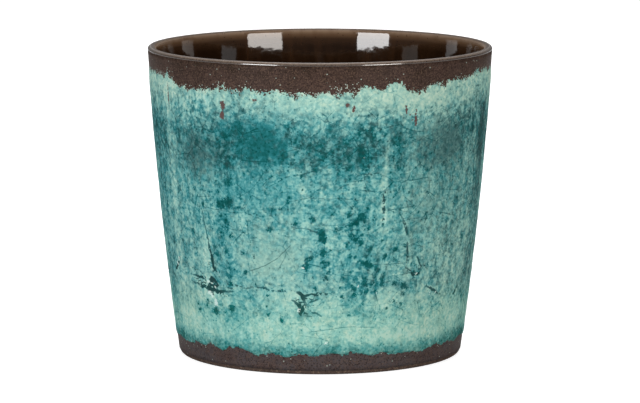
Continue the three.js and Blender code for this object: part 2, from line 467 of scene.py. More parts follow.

# %% [markdown]
# ## Blotches, bare spots and painted highlights
# Where the glaze lay thick it pooled in dark teal blotches, and where it crawled back the brown shows
# through. A few near-white flecks are painted highlights, where folds in the glaze catch the lamps.
# Each list is painted as a field that falls off from the middle of its marks, and the finish cuts
# that field with noise, which gives each mark a ragged edge.

# %% Blotches
BLOTCHES = (  # angle, height, radius, strength
    (-70, 85.5, 2.5, 0.6), (-59, 67.5, 2.3, 0.6), (-57, 86, 1.5, 0.5), (-53, 53.5, 1.3, 0.8),
    (-53, 34, 1.1, 0.9), (-52, 74.5, 2.2, 0.7), (-52, 31, 1.5, 1), (-51.5, 62, 1.4, 0.5),
    (-47.5, 34.5, 1.4, 0.8), (-47, 37, 1.1, 0.8), (-47, 87.5, 1.2, 0.7), (-46, 124, 2, 0.9),
    (-45, 90.5, 1.6, 0.8), (-43, 32, 2.8, 1), (-42.5, 91.5, 1, 0.7), (-41.5, 55.5, 1.1, 1.3),
    (-41, 67.5, 1.4, 0.8), (-40.5, 126, 1.8, 0.7), (-39.5, 64, 2.2, 0.6), (-38.5, 103, 2.2, 0.6),
    (-38.5, 68.5, 1.5, 0.6), (-37.5, 98.5, 1.3, 0.7), (-37, 85.5, 1.2, 0.9), (-36.5, 75, 2.6, 0.7),
    (-36.5, 92, 3.2, 1.2), (-33.5, 93, 3.2, 1.2), (-35.5, 66, 2.2, 0.8), (-35, 34.5, 2.4, 1.2),
    (-35, 52, 1.5, 0.7), (-35, 82.5, 2, 0.6), (-34.5, 48, 1.5, 1.1), (-34.5, 56.5, 1.3, 0.7),
    (-34, 130, 2.5, 1), (-33.5, 113, 2.8, 0.7), (-33, 75, 2, 0.7), (-33, 104.5, 3, 0.7),
    (-28.5, 66, 1.7, 0.8), (-28.5, 96.5, 1.4, 0.5), (-28, 55.5, 1.7, 1), (-25.5, 42.5, 1.7, 0.6),
    (-24, 75.5, 1.5, 0.7), (-24, 48.5, 1, 0.9), (-24, 64.5, 1.3, 0.7), (-23.5, 88, 1.3, 0.5),
    (-23, 35.5, 1.9, 0.5), (-21, 47.5, 0.9, 0.7), (-20, 37.5, 0.9, 0.8), (-19.5, 43.5, 1.3, 0.8),
    (-19.5, 33, 1.3, 1), (-19, 100, 1.4, 0.8), (-18, 80, 2, 0.9), (-17.5, 91, 1.5, 0.6),
    (-17, 53.5, 1.6, 0.5), (-14.5, 30, 1.5, 1), (-14, 46.5, 1, 0.9), (-13.5, 91, 1.2, 0.7),
    (-14, 60, 1.3, 0.4), (-11, 95, 1.2, 1.1), (-10.5, 97.5, 1.3, 0.8), (-9, 81, 0.8, 0.9),
    (-9, 64, 1.6, 0.5), (-8.5, 83.5, 1.3, 1), (-6, 109, 1.4, 0.9), (-6, 101.3, 0.7, 1.4),
    (-6, 60.5, 0.8, 1), (-5, 59, 1.7, 1), (-5, 93.5, 1.3, 0.5), (-4.5, 61, 1.4, 1),
    (-4.5, 63.5, 1.6, 1), (-3.5, 109, 1.1, 0.6), (-3, 65, 1.5, 1), (-3.5, 84, 1.2, 0.7),
    (-3, 98.5, 1.2, 0.6), (-2.5, 54, 1.3, 0.5), (-2.5, 86, 2, 0.8), (-1.5, 66.5, 1.3, 0.6),
    (-1.5, 113, 1.3, 0.7), (-1.5, 48, 1.4, 1), (-1.5, 46, 0.8, 0.6), (0.5, 78.5, 2.4, 1.1),
    (1, 75, 2.4, 1.2), (1, 67.5, 2.2, 1.2), (1, 62.5, 1.7, 0.9), (2, 54, 2.2, 0.8), (2.5, 66, 1.2, 0.6),
    (3, 62, 1.7, 0.8), (1.5, 59.5, 1.3, 0.7), (3.5, 69, 1.4, 0.8), (3, 57, 1, 0.7),
    (4.5, 88.5, 1.9, 0.6), (6, 80, 2.3, 0.7), (7, 68, 1.2, 0.6), (7.5, 48.5, 1.4, 0.7),
    (8, 43.5, 1.4, 0.8), (8, 41, 0.9, 0.7), (8.5, 53.5, 1.6, 0.5), (6.5, 97, 1.6, 0.5),
    (8, 86, 0.9, 0.8), (10.5, 65.5, 1.4, 0.7), (9.5, 71.5, 1.3, 0.7), (9.5, 113.5, 1.9, 0.9),
    (10, 107.5, 1, 1), (10, 88, 1.8, 1), (11, 33, 1.4, 0.5), (11, 76, 2.2, 0.9), (11, 92.5, 2.5, 0.6),
    (11, 82.5, 1.8, 0.9), (11, 65.5, 1.2, 0.8), (11.5, 49, 1.4, 0.8), (12.5, 47.5, 1.6, 0.9),
    (12.5, 74.5, 2, 1), (12.5, 65, 1.1, 1), (13, 44.5, 1.9, 0.8), (13, 84.5, 2, 1), (14, 62.5, 1.1, 1.1),
    (14.5, 87, 2.2, 1.1), (14.5, 73, 1.8, 1.2), (15.5, 84.5, 1.2, 0.9), (15.5, 114, 3, 0.8),
    (15.5, 61.5, 1.6, 1.1), (16, 38.5, 2, 0.6), (16.5, 52.5, 1.7, 1), (16.5, 50.5, 2, 1.1),
    (16.5, 92, 1.8, 0.6), (17, 61, 2, 1.2), (17, 46, 1.4, 1.3), (17, 80, 0.9, 1), (18, 69.5, 2.3, 0.7),
    (19, 49, 1.2, 0.8), (18.5, 60, 1.6, 1.1), (20.5, 58.5, 1.5, 1), (21.5, 57, 1.3, 1),
    (23.5, 54.5, 1.5, 1), (23, 52, 1.8, 1), (23, 49.5, 1.7, 1), (19, 85.5, 1.6, 0.7),
    (20.5, 46, 0.9, 1), (22.5, 97.5, 0.8, 1.1), (22.5, 90.5, 1.2, 1.1), (22.5, 82, 0.8, 1.1),
    (22.5, 73.5, 1.3, 0.8), (23, 69, 0.9, 1), (23.5, 64.5, 1.9, 0.9), (24, 114, 1.3, 0.8),
    (25.5, 36, 1, 0.9), (26.5, 100.5, 1.1, 1), (26.5, 98, 1, 0.6), (26, 126.5, 3, 0.6),
    (27.5, 107, 1.1, 0.7), (27.5, 112.5, 1.5, 0.6), (27.5, 68, 1.6, 1.1), (28, 49.5, 1.9, 0.9),
    (28, 55.5, 1.4, 0.6), (28.5, 39.5, 1.8, 0.6), (31.5, 69.5, 1.3, 1), (31.5, 37.5, 1.5, 0.9),
    (32, 43, 1.5, 1), (32, 99, 0.8, 0.9), (32, 47.5, 2.1, 1.1), (33.5, 46, 1.2, 0.9), (32.5, 76, 1, 1),
    (34.5, 97, 1.8, 0.5), (34.5, 91, 1.6, 0.5), (36, 54, 1.2, 1.1), (36, 46, 1.6, 0.4),
    (36, 114, 0.9, 1), (36.5, 88, 0.8, 1), (38.5, 53.5, 1.3, 1.1), (39, 110, 1, 1.3),
    (40, 97.5, 1.8, 0.6), (40, 86.5, 1.4, 0.8), (40, 83.5, 1.9, 0.8), (41, 111, 0.9, 1.1),
    (43.5, 88.5, 1.5, 0.8), (43, 96.5, 1.3, 0.6), (47, 63, 3, 0.4), (52.5, 68, 2, 0.6),
    (62.5, 69, 3, 0.7), (63, 130.5, 3, 0.6), (69, 101, 5, 0.4), (17, 134, 2, 0.7), (13, 131.5, 2, 0.7),
    (14, 121, 3, 0.8), (8.5, 121, 2.5, 0.7), (1.5, 121, 2, 0.6), (-3, 125, 2.5, 0.6), (88, 92, 3, 0.8),
    (96, 76, 2.4, 0.8), (84, 56, 2, 0.8), (92, 48, 3, 0.9), (99, 64, 1.6, 0.8), (81, 74, 1.5, 0.7),
    (-88, 84, 2.5, 0.8), (-94, 58, 3, 0.9), (-84, 46, 1.8, 0.8), (-97, 94, 1.8, 0.7),
)
BLOTCH_REACH = 1.4  # radii from its middle to where a blotch ends


def blotch_marks(angle, z):
    """A field that falls from each blotch's strength to nothing at its reach."""
    blotch = np.zeros_like(z)
    for middle, height, radius, strength in all_round(BLOTCHES):
        away = reach(angle, z, (middle, height, radius, radius))
        blotch = np.maximum(blotch, strength * (BLOTCH_REACH - away))
    return blotch


print("blotches all round:", len(all_round(BLOTCHES)))

# %% Bare spots, painted highlights and spray
BARE = (  # angle, height, half width, half height of brown that shows through
    (-33.7, 146, 1.6, 2.6), (-34, 140.7, 1.4, 2.2), (-21.9, 149.7, 1.6, 0.8), (8.9, 147.4, 1.4, 1.2),
    (11.1, 145.5, 1, 1.6), (29.4, 144, 0.8, 2.5), (33.3, 139, 0.8, 5), (31, 141, 0.6, 0.8),
    (32, 138.5, 0.6, 0.8), (-61, 147, 0.4, 7),
)
PAINTED_HIGHLIGHTS = (  # angle, height, half width, half height of painted highlights, near-white flecks where folds catch the lamps
    (-45, 41.5, 1.8, 1.3), (-44, 40, 1, 0.8), (-42.5, 37, 1.2, 1.8), (-48, 47, 1.3, 0.45),
    (-45.5, 48, 0.9, 0.7), (-44, 47, 1.2, 0.45), (-42, 45.5, 1.2, 0.45), (-41, 44.5, 0.9, 0.4),
    (-40.5, 54, 0.8, 0.4), (-8, 36, 0.7, 0.9), (-6, 59.5, 0.8, 0.7), (16, 47, 0.7, 0.5),
    (14, 49, 0.4, 0.9), (37.5, 54, 0.8, 0.5), (48, 41.5, 0.9, 0.5), (45, 41, 0.5, 0.7),
    (-66, 54, 1, 1.4), (-64, 57, 0.7, 1), (60, 33, 1.4, 0.5), (2, 18, 1.2, 0.5), (21, 45, 0.6, 0.4),
)
SPRAY = (  # angle, height, half width, half height of pale spray on the brown
    (9, 155, 11, 3.5), (-8, 153.5, 8, 2.5), (-50, 152.5, 14, 2), (-27, 152.5, 6, 2), (1, 153, 6, 2),
    (40, 154, 8, 3), (58, 157, 10, 2), (-67, 158, 8, 2), (22, 153, 4, 2.5),
)
BARE_PEAK, HIGHLIGHT_PEAK, SPRAY_PEAK = 1.6, 1.8, 2  # strength in the middle of a mark


def spot_marks(angle, z, marks, peak):
    """A field that is highest in the middle of each mark and crosses peak - 1 at its edge."""
    field = np.zeros_like(z)
    for mark in all_round(marks):
        field = np.maximum(field, peak - reach(angle, z, mark))
    return field


print("bare spots:", len(BARE), "glints:", len(PAINTED_HIGHLIGHTS), "spray:", len(SPRAY))

# %% [markdown]
# ## Cracks
# The thick glaze tore as it cooled: two wide tears near the foot, some long cracks and many
# hairlines. Curves laid on the wall and shrinkwrapped could cut them, but a distance does the same
# with less. Each vertex stores how far it is from the nearest crack, in that crack's own half
# widths and with a side, and how open and how deep that crack is. The finish darkens what is near,
# a hairline less than a tear, and noise breaks up the cracks that don't hold together.

# %% Cracks
CRACKS = (  # how far it holds together, then a line of angle, height and half width
    (0.9, (-46, 88, 0.3), (-44.5, 77, 0.4), (-44, 70, 0.5), (-43, 64.5, 0.8), (-42.5, 59, 0.9),
     (-42, 56, 0.9), (-41, 54, 0.6)),
    (0.9, (-54, 50, 0.4), (-50, 49.5, 0.8), (-47.5, 49.5, 0.8), (-46.5, 48, 0.5)),
    (0.7, (-54, 45.5, 0.4), (-51.5, 45.5, 0.6), (-50.5, 45, 0.4)),
    (1, (-50, 44.5, 0.7), (-47, 44.5, 1.2), (-44.5, 45, 2), (-42.5, 43, 2), (-40.5, 43, 0.9),
     (-37, 43.5, 0.5), (-34, 44, 0.4)),
    (1, (-44, 49.5, 1.8), (-42.5, 48, 2.6), (-41, 46, 1.1)),
    (0.1, (-36, 48.5, 0.7), (-31, 47, 0.5), (-28, 46.5, 0.4), (-25, 48, 0.5), (-21, 47.5, 0.5),
     (-17, 46, 0.5), (-13, 46.5, 0.5), (-9, 46, 0.6)),
    (0.9, (-8.5, 46, 0.5), (-7, 45, 0.8), (-6, 43, 0.9), (-5.5, 40.5, 0.4), (-4, 37, 0.3)),
    (0.9, (-5.5, 44, 0.7), (-3, 44.5, 0.7), (-1, 45, 0.7), (0.5, 45.5, 0.6)),
    (0.4, (1, 45.5, 0.5), (3, 45, 0.6), (5, 46, 0.5)), (0.7, (-3.5, 40.5, 0.5), (-1, 42, 0.5)),
    (0.9, (-10.5, 41.5, 0.4), (-8.5, 40, 0.6), (-7, 38, 1.1), (-6.5, 36, 1.2), (-7, 33.5, 1.1)),
    (0.4, (-5.5, 35, 0.5), (-2, 34.5, 0.5), (0.5, 32.5, 0.4)),
    (0.7, (28, 89, 0.3), (29.5, 85.5, 0.4), (31.5, 80, 0.6), (32.5, 76, 0.6)),
    (0.3, (32.5, 72, 0.5), (33, 62, 0.7), (33, 57, 0.7)),
    (0.7, (33.5, 56.5, 0.4), (35.5, 54, 0.9), (38.5, 53.5, 1)),
    (0.7, (37, 63, 0.5), (38.5, 60, 0.6), (39.5, 57.5, 0.5)),
    (0.1, (22.5, 101, 0.8), (22.5, 81, 0.6)),
    (0.7, (-68, 50.5, 0.9), (-64.5, 55, 0.7), (-63, 58.5, 0.4)),
    (0.5, (43, 46, 0.4), (47, 42.5, 0.7), (50.5, 40, 0.4)),
    (0.7, (60.5, 38, 0.7), (63.5, 42.5, 0.6)),
    (0.7, (6, 101.5, 0.25), (7.5, 103.5, 0.4), (10, 105, 0.35)),
    (0.5, (14, 101.5, 0.3), (16, 101, 0.4), (20, 100.5, 0.4), (22, 100.5, 0.4)),
    (0.3, (13.5, 110.5, 0.35), (17, 110, 0.4), (20, 110.5, 0.35)),
    (0.8, (-50, 94, 0.2), (-40, 95.5, 0.2)),
    (0.8, (-45, 89, 0.25), (-33, 88, 0.2), (-26, 88, 0.25), (-21, 85, 0.2)),
    (0.7, (-29, 96, 0.2), (-24, 101, 0.2), (-20, 108.5, 0.2)),
    (0.7, (-20.5, 95.5, 0.2), (-25, 98.5, 0.2), (-30, 104, 0.2)),
    (0.7, (-20, 103.5, 0.2), (-16, 109, 0.2)), (0.7, (-20, 101, 0.2), (-12.5, 107.5, 0.2)),
    (0.7, (-14, 91, 0.2), (-10.5, 95.5, 0.2), (-4, 97.5, 0.2), (5, 97, 0.2)),
    (0.8, (-10, 81.5, 0.3), (-4, 80.5, 0.25), (-1, 79, 0.5)), (0.6, (-4, 83, 0.2), (10, 82.5, 0.2)),
    (0.8, (-25, 57, 0.25), (-20, 60, 0.25), (-15, 64.5, 0.2), (-10, 72.5, 0.2)),
    (0.6, (-12, 108.5, 0.2), (-7, 110, 0.2), (0, 113, 0.2), (9, 121, 0.2)),
    (0.6, (6, 97.5, 0.25), (13, 96.5, 0.2)), (0.7, (45, 107.5, 0.2), (55, 104, 0.2)),
    (0.7, (45, 99, 0.2), (56, 96.5, 0.2)), (0.7, (46, 86, 0.25), (56, 82.5, 0.2)),
    (0.6, (30, 97, 0.2), (33.5, 93, 0.2)), (0.6, (24, 90, 0.25), (35, 91, 0.2)),
    (0.6, (-4, 24, 0.2), (9, 26.5, 0.2), (20.5, 26, 0.2)), (0.6, (-7, 22, 0.2), (3, 19.5, 0.2)),
    (0.6, (20, 60.5, 0.25), (31, 60, 0.2)), (0.6, (33, 71, 0.2), (40, 68, 0.2)),
    (0.7, (86, 70, 0.3), (90, 60, 0.6), (92, 52, 0.9)),
    (0.7, (-95, 50, 0.6), (-89, 46, 1.2), (-83, 45, 0.6)),
)
print("cracks on the front:", len(CRACKS))

# %% Nearest crack
SWAY_ASIDE = 0.3  # degrees that noise moves a crack off its drawn line
SWAY_UP = 0.4 * mm
NO_CRACK = 30.0  # half widths, further than any crack is felt
TAPER = 1.5  # millimetres in which a crack closes past its end
DEEP = 0.8  # half width in millimetres from which a crack is as deep as it gets
HAIRLINE_DEPTH = 0.4


def crack_marks(angle, z):
    """How far off the nearest crack is, in half widths and with a side, how open and how deep it is."""
    angle = angle + SWAY_ASIDE * lumpy(angle, z, 5)
    z = z + SWAY_UP * lumpy(angle, z, 7)
    off = np.full_like(z, NO_CRACK)
    force = np.zeros_like(z)
    depth = np.zeros_like(z)
    lines = [(hold, line) for hold, *line in CRACKS]
    lines += [(hold, all_round(line, 0, 0)[len(line):]) for hold, line in lines]
    for hold, line in lines:
        start = line[0][0]
        scale = math.radians(1) * wall_radius(line[0][1] * mm) / mm
        across = turn_gap(angle, start) * scale
        for one, two in zip(line, line[1:]):
            from_x, to_x = (turn_gap(point[0], start) * scale for point in (one, two))
            run, rise = to_x - from_x, two[1] - one[1]
            length = math.hypot(run, rise)
            x, y = across - from_x, z / mm - one[1]
            along = (x * run + y * rise) / length**2
            wide = one[2] + (two[2] - one[2]) * np.clip(along, 0, 1)
            over = np.maximum(np.maximum(-along, along - 1), 0) * length
            side = (x * rise - y * run) / length / wide
            near = np.hypot(side, over / wide)
            nearest = near < np.abs(off)
            open_end = (1 - np.clip(over / TAPER, 0, 1)) * (0.5 + 0.5 * hold)
            off = np.where(nearest, np.copysign(near, side), off)
            force = np.where(nearest, open_end, force)
            depth = np.where(nearest, np.clip(wide / DEEP, HAIRLINE_DEPTH, 1), depth)
    return off, force, depth


middle_off = crack_marks(np.zeros(1), np.array([HEIGHT / 2]))[0][0]
print(f"nearest crack to the middle of the front: {abs(middle_off):.1f} of its half widths away")

# %% [markdown]
# ## Turquoise sleeve
# The sleeve is a third of a millimetre of glaze that stands up round each crack, thins out towards
# the brown below the lip and swells into a bead at its foot. A Displace modifier would move it by
# one texture, but here thickness comes from many marks, so each vertex is set to its own. The
# sleeve is turned straight, its rows are then shared out between the two drawn edges, and its face
# is pushed out by the glaze.

# %% Turn the sleeve
TURQUOISE = 0.35 * mm
SLEEVE_LOW = 10 * mm
SLEEVE_HIGH = 155 * mm
SLEEVE_ROWS = 118
CROWDING = 0.35  # how much closer the rows are at both edges, from 0 to 1

even = np.linspace(0, 1, SLEEVE_ROWS + 1)
crowded = (1 - CROWDING) * even + CROWDING * (0.5 - 0.5 * np.cos(np.pi * even))
sleeve_face = [
    (wall_radius(z) + BOND + TURQUOISE, z) for z in SLEEVE_LOW + (SLEEVE_HIGH - SLEEVE_LOW) * crowded
]
sleeve_back = wall_points(SLEEVE_HIGH, SLEEVE_LOW, 3, BOND)
turquoise = turned("turquoise_sleeve", sleeve_face + sleeve_back + sleeve_face[:1], columns=720)

# %% Thickness of the sleeve
THIN = 0.03 * mm
RIDGE_OFF, RIDGE_WIDTH = 1.8, 0.8  # from the middle of a crack, in its half widths
BEAD_HEIGHT, BEAD_WIDTH = 2.2 * mm, 1.8 * mm  # above the foot edge
RIM_FADE = 3 * mm
FOOT_FADE = 0.8 * mm

angle, radius, z = places(turquoise)
on_face = radius - wall_radius(z) > BOND + TURQUOISE / 2
rim_edge = HEIGHT - drawn(RIM_EDGE, angle)
foot_edge = drawn(FOOT_EDGE, angle)
z = foot_edge + (rim_edge - foot_edge) * (z - SLEEVE_LOW) / (SLEEVE_HIGH - SLEEVE_LOW)
above_foot = z - foot_edge
off, force, depth = crack_marks(angle, z)
groove = force * depth * np.exp(-off**2)
ridge = force * depth * np.exp(-((np.abs(off) - RIDGE_OFF) / RIDGE_WIDTH) ** 2)
bead = np.exp(-((above_foot - BEAD_HEIGHT) / BEAD_WIDTH) ** 2)
glaze = 1 + 0.35 * lumpy(angle, z, 9) + 0.5 * bead + 0.5 * ridge - 0.8 * groove
glaze *= 1 - np.exp(-(rim_edge - z) / RIM_FADE)
glaze *= 1 - np.exp(-above_foot / FOOT_FADE)
glaze *= 1 - 0.8 * np.clip(spot_marks(angle, z, BARE, BARE_PEAK), 0, 1)
thickness = np.where(on_face, np.maximum(THIN, TURQUOISE * glaze), 0)
move_to(turquoise, angle, wall_radius(z) + BOND + thickness, z)
print(f"glaze up to {thickness.max() / mm:.2f} mm thick")

# %% [markdown]
# ## Painting the marks on
# The finish is a shader, which knows nothing of lists, so every field is stored as an attribute on
# the vertices. A picture could hold them too, but attributes need no file and stay on the piece.
# The coat gets the same marks as the sleeve, because the frayed edge of the turquoise shows on
# both.

# %% Painting the marks on
def paint_marks(piece):
    """Stores every field on a piece, under the name that the finish reads it by."""
    angle, radius, z = places(piece)
    tone, hue, lace, lively = tone_marks(angle, z)
    off, force, depth = crack_marks(angle, z)
    fields = {
        "below_rim": (HEIGHT - drawn(RIM_EDGE, angle) - z) / mm,
        "above_foot": (z - drawn(FOOT_EDGE, angle)) / mm,
        "tone": tone,
        "hue": hue,
        "lace": lace,
        "lively": lively,
        "blotch": blotch_marks(angle, z),
        "bare": spot_marks(angle, z, BARE, BARE_PEAK),
        # painted highlights: near-white flecks where folds in the glaze catch the lamps
        "glint": spot_marks(angle, z, PAINTED_HIGHLIGHTS, HIGHLIGHT_PEAK),
        "spray": spot_marks(angle, z, SPRAY, SPRAY_PEAK),
        "crack": off,
        "crack_force": force,
        "crack_depth": depth,
    }
    for name, values in fields.items():
        paint(piece, name, values)
    print(piece.name, "carries", ", ".join(fields))


paint_marks(turquoise)
paint_marks(brown_coat)

# %% [markdown]
# ## Mixing a finish
# A glaze is mixed from a few powders, and a finish from a few nodes: noise for clouds, Voronoi
# cells for crystals, ramps for colour. The node editor would do, but this finish has well over a
# hundred nodes. So a small class lays each node and joins it up, two more build on it with sums and
# with patterns, and the recipes below can be read like sums.

# %% Colours
def srgb(red, green, blue):
    """A colour as it is read off a picture, 0 to 255, as the shader wants it."""
    return (*Color((red / 255, green / 255, blue / 255)).from_srgb_to_scene_linear(), 1)


print("middle grey in the shader's own numbers:", [round(part, 2) for part in srgb(128, 128, 128)])


# %% Laying nodes
class Bench:
    """A finish being mixed: each call lays a node in the material and joins it up."""

    def __init__(self, name):
        self.material = bpy.data.materials.new(name)
        self.material.use_nodes = True
        self.nodes = self.material.node_tree.nodes
        self.links = self.material.node_tree.links
        self.surface = self.nodes["Principled BSDF"]
        self.place = self.nodes.new("ShaderNodeTexCoord").outputs["Object"]

    def feed(self, socket, value):
        """Links a socket to another one, or sets it to a plain value."""
        if isinstance(value, bpy.types.NodeSocket):
            self.links.new(value, socket)
        else:
            socket.default_value = value

    def lay(self, kind, inputs, **settings):
        node = self.nodes.new("ShaderNode" + kind)
        for name, value in settings.items():
            setattr(node, name, value)
        for name, value in inputs.items():
            self.feed(node.inputs[name], value)
        return node

    def dress(self, values):
        """Feeds the sockets of the surface itself."""
        for name, value in values.items():
            self.feed(self.surface.inputs[name], value)

    def bump(self, height, distance, strength):
        inputs = {"Height": height, "Distance": distance, "Strength": strength}
        return self.lay("Bump", inputs).outputs["Normal"]


def tools_of(bench):
    return ", ".join(name for name in vars(bench) if not name.startswith("_"))


print("tools for nodes:", tools_of(Bench))


# %% Sums and blends
class Sums(Bench):
    """Adds up and blends the numbers and colours of a finish."""

    def sum(self, *values):
        total = values[0]
        for value in values[1:]:
            total = self.lay("Math", {0: total, 1: value}, operation="ADD").outputs[0]
        return total

    def times(self, *values):
        total = values[0]
        for value in values[1:]:
            total = self.lay("Math", {0: total, 1: value}, operation="MULTIPLY").outputs[0]
        return total

    def size_of(self, value):
        return self.lay("Math", {0: value}, operation="ABSOLUTE").outputs[0]

    def step(self, value, low, high):
        """0 at low and 1 at high, smooth between them, and the other way round if high is lower."""
        inputs = {"Value": value, "From Min": low, "From Max": high}
        return self.lay("MapRange", inputs, interpolation_type="SMOOTHSTEP").outputs["Result"]

    def swing(self, value, reach):
        """A pattern of 0 to 1 swung about zero."""
        inputs = {"Value": value, "To Min": -reach, "To Max": reach}
        return self.lay("MapRange", inputs, clamp=False).outputs["Result"]

    def between(self, share, low, high):
        """A share of 0 to 1 spread evenly from low to high."""
        inputs = {"Value": share, "To Min": low, "To Max": high}
        return self.lay("MapRange", inputs).outputs["Result"]

    def blend(self, share, first, second):
        return self.lay("Mix", {0: share, 6: first, 7: second}, data_type="RGBA").outputs[2]

    def towards(self, share, value, end):
        """A number moved towards an end by a share."""
        return self.lay("Mix", {0: share, 2: value, 3: end}).outputs[0]

    def ramp(self, value, stops):
        node = self.lay("ValToRGB", {"Fac": value})
        band = node.color_ramp
        while len(band.elements) < len(stops):
            band.elements.new(0.5)
        for element, (position, colour) in zip(band.elements, stops):
            element.position = position
            element.color = colour
        return node.outputs["Color"]


print("tools for sums:", tools_of(Sums))


# %% Patterns
class Finish(Sums):
    """Reads what was painted on, and draws clouds, cells and dots."""

    def painted(self, name):
        return self.lay("Attribute", {}, attribute_name=name).outputs["Fac"]

    def stretched(self, across, up):
        stretch = {0: self.place, 1: (across, across, up)}
        return self.lay("VectorMath", stretch, operation="MULTIPLY").outputs[0]

    def warped(self, size, reach):
        """The place, pushed about by soft noise, so that a pattern on it loses its straight lines."""
        inputs = {"Vector": self.place, "Scale": 1 / size, "Detail": 2}
        colour = self.lay("TexNoise", inputs).outputs["Color"]
        middle = {0: colour, 1: (0.5, 0.5, 0.5)}
        push = self.lay("VectorMath", middle, operation="SUBTRACT").outputs[0]
        push = self.lay("VectorMath", {0: push, "Scale": reach}, operation="SCALE").outputs[0]
        return self.lay("VectorMath", {0: self.place, 1: push}, operation="ADD").outputs[0]

    def clouds(self, size, detail=4, roughness=0.5, place=None):
        """Soft noise with lumps of a size, finer layers by detail and stronger ones by roughness."""
        inputs = {
            "Vector": place or self.place, "Scale": 1 / size, "Detail": detail, "Roughness": roughness,
        }
        return self.lay("TexNoise", inputs).outputs["Fac"]

    def cells(self, size, place=None, feature="F1"):
        inputs = {"Vector": place or self.place, "Scale": 1 / size}
        return self.lay("TexVoronoi", inputs, feature=feature)

    def lot(self, cells, channel=0):
        """A number of 0 to 1 that each cell draws for itself."""
        return self.lay("SeparateColor", {0: cells.outputs["Color"]}).outputs[channel]

    def dots(self, cells, share, edge, core):
        """Round dots in a share of the cells, from their core to their edge."""
        chosen = self.lay("Math", {0: self.lot(cells), 1: share}, operation="LESS_THAN").outputs[0]
        return self.times(chosen, self.step(cells.outputs["Distance"], edge, core))


print("tools for patterns:", tools_of(Finish))

# %% [markdown]
# ## Where the turquoise shows
# Along the lip the turquoise breaks up into crumbs and islands, along the foot it ends in a crisp
# line, and in a few spots it has crawled off the brown. Cutting the mesh along all that would take
# millions of faces. Instead the distance to each edge is shaken by noise and cut sharply, and the
# same mask runs over the coat and the sleeve, so that islands and holes join up.

# %% Where the turquoise shows
CRUMB = 1.1 * mm
ISLAND = 4 * mm
DRIP = 2.2 * mm


def glaze_mask(f):
    """1 where turquoise covers the brown, 0 where the brown is bare."""
    crumbs = f.clouds(CRUMB, 3, 0.6)
    ragged = f.sum(f.painted("below_rim"), f.swing(f.clouds(ISLAND, 4, 0.6), 5), f.swing(crumbs, 4))
    crisp = f.sum(f.painted("above_foot"), f.swing(f.clouds(DRIP, 4, 0.6), 2.4))
    bare = f.sum(f.painted("bare"), f.swing(crumbs, 1.2))
    return f.times(f.step(ragged, -0.3, 0.3), f.step(crisp, -0.2, 0.2), f.step(bare, 0.8, 0.6))


rim_drops = [drop for _, drop in RIM_EDGE]
print("the turquoise ends", min(rim_drops), "to", max(rim_drops), "mm below the lip, before it frays")

# %% [markdown]
# ## Brown glaze
# The brown is a dark satin glaze full of fine sand: nearly black below the lip, warmer where the
# turquoise begins, with pale overspray from the turquoise. Towards the foot it is painted greyer, a
# painted reflection of the white floor. A single brown would look like plastic, so clouds, pale and
# dark grit and flecks are laid over it one by one.

# %% Brown glaze
LIP_BROWN = srgb(51, 40, 33)
WARM_BROWN = srgb(65, 52, 47)
# painted reflection: the foot's brown greyed as if it mirrored the white floor
FOOT_BROWN_FLOOR_SHEEN = srgb(77, 71, 73)
CLOUD_BROWN = srgb(74, 58, 53)
BARE_BROWN = srgb(92, 73, 71)
PALE_GRIT = srgb(100, 80, 68)
DARK_GRIT = srgb(26, 18, 15)
OVERSPRAY = srgb(190, 206, 195)


def brown_glaze(f):
    below_rim = f.painted("below_rim")
    above_foot = f.painted("above_foot")
    brown = f.blend(f.step(below_rim, -14, -4), LIP_BROWN, WARM_BROWN)
    # greyer towards the foot: a painted reflection of the white floor
    brown = f.blend(f.step(below_rim, 40, 80), brown, FOOT_BROWN_FLOOR_SHEEN)
    cloud = f.step(f.clouds(9 * mm, 5, 0.65), 0.35, 0.68)
    brown = f.blend(f.times(cloud, 0.6), brown, CLOUD_BROWN)
    grit = f.lot(f.cells(0.6 * mm), 1)
    brown = f.blend(f.times(f.step(grit, 0.6, 1), 0.5), brown, PALE_GRIT)
    brown = f.blend(f.times(f.step(grit, 0.4, 0), 0.6), brown, DARK_GRIT)
    near_rim = f.times(f.step(below_rim, -5, 0.5), f.step(below_rim, 9, 5))
    near_foot = f.times(f.step(above_foot, -6, 0), f.step(above_foot, 4, 1))
    spray = f.step(f.painted("spray"), 0.6, 1.6)
    share = f.sum(0.008, f.times(near_rim, 0.11), f.times(spray, 0.4), f.times(near_foot, 0.02))
    fleck = f.dots(f.cells(0.75 * mm), share, edge=0.5, core=0.3)
    brown = f.blend(f.times(fleck, 0.75), brown, OVERSPRAY)
    return f.blend(f.step(f.painted("bare"), 0.2, 0.4), brown, BARE_BROWN)


browns = (LIP_BROWN, WARM_BROWN, FOOT_BROWN_FLOOR_SHEEN)
print("red in the browns, lip to foot:", [round(brown[0], 3) for brown in browns])

# %% [markdown]
# ## Turquoise glaze
# A reactive glaze turns from deep teal to pale green by how thick it lies. So all its marks are
# added up to a single tone, dark to pale, and two ramps give that tone a colour: one for blue glaze
# and one for grey-green, blended by the painted hue. Mixing colours mark by mark would be muddier,
# so only a faint mint cast low down and the painted highlights, near-white flecks, are laid over that.

